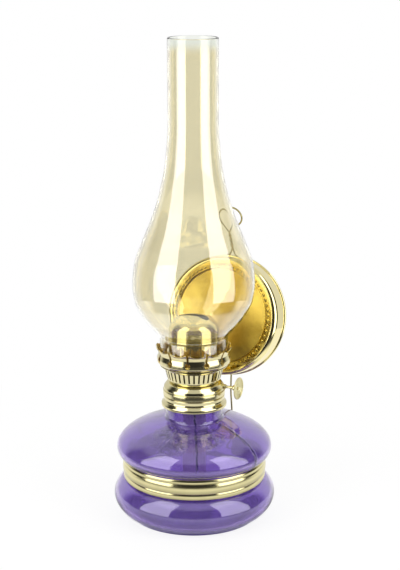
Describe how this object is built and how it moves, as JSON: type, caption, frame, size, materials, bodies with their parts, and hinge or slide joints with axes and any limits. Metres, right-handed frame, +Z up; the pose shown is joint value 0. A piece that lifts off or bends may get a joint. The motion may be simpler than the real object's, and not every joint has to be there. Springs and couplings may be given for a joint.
{
  "type": "glass kerosene lamp",
  "caption": "Flat-wick oil lamp with a two-lobed glass font, tall bulbous chimney, brass burner, and a pan reflector carried on a wire hanger behind the chimney.",
  "frame": {"origin": "centre of the foot, on the surface that the lamp stands on", "axes": "+Z up along the chimney, +Y towards the wall, hanger and reflector, +X towards the wick knob"},
  "size_m": [0.1206, 0.1392, 0.355],
  "materials": {
    "purple_glass": "polished, tinted through",
    "amber_glass": "polished, pale amber lustre",
    "band_brass": "bright plated",
    "burner_brass": "bright plated",
    "reflector_brass": "mirror bright, lacquered yellow",
    "wire_brass": "brass plated wire",
    "plaster": "set gypsum plaster",
    "wick_cotton": "woven cotton"
  },
  "bodies": {
    "font": {"font_glass": "purple_glass", "waist_band": "band_brass", "hanger_wire": "wire_brass", "reflector_dish": "reflector_brass", "reflector_clip_upper": "burner_brass", "reflector_clip_lower": "burner_brass", "neck_collar": "burner_brass", "collar_plaster": "plaster"},
    "burner": {"burner_cap": "burner_brass", "burner_base_plate": "burner_brass", "wick_tube": "burner_brass", "wheel_housing": "burner_brass", "spindle_sleeve": "burner_brass", "air_basket": "burner_brass", "chimney_crown": "burner_brass", "flame_dome": "burner_brass"},
    "wick_raiser": {"wick_spindle": "burner_brass", "wick_wheel_left": "burner_brass", "wick_wheel_right": "burner_brass", "knob_disc": "burner_brass", "knob_ferrule": "burner_brass"},
    "wick": {"flat_wick": "wick_cotton"},
    "chimney": {"chimney_glass": "amber_glass"}
  },
  "joints": [
    {"name": "burner_lift", "type": "slide", "parent": "font", "child": "burner", "axis": [0, 0, 1], "range_m": [0, 0.1]},
    {"name": "wick_knob_turn", "type": "hinge", "parent": "burner", "child": "wick_raiser", "pos_m": [0.03, 0.00615, 0.0992], "axis": [-1, 0, 0], "range_deg": [-120, 100]},
    {"name": "wick_rise", "type": "slide", "parent": "burner", "child": "wick", "axis": [0, 0, 1], "range_m": [-0.0098, 0.0082]},
    {"name": "chimney_lift", "type": "slide", "parent": "burner", "child": "chimney", "axis": [0, 0, 1], "range_m": [0, 0.06]}
  ],
  "couplings": [
    {"joint": "wick_rise", "follows": "wick_knob_turn", "m_per_rad": 0.0046}
  ]
}
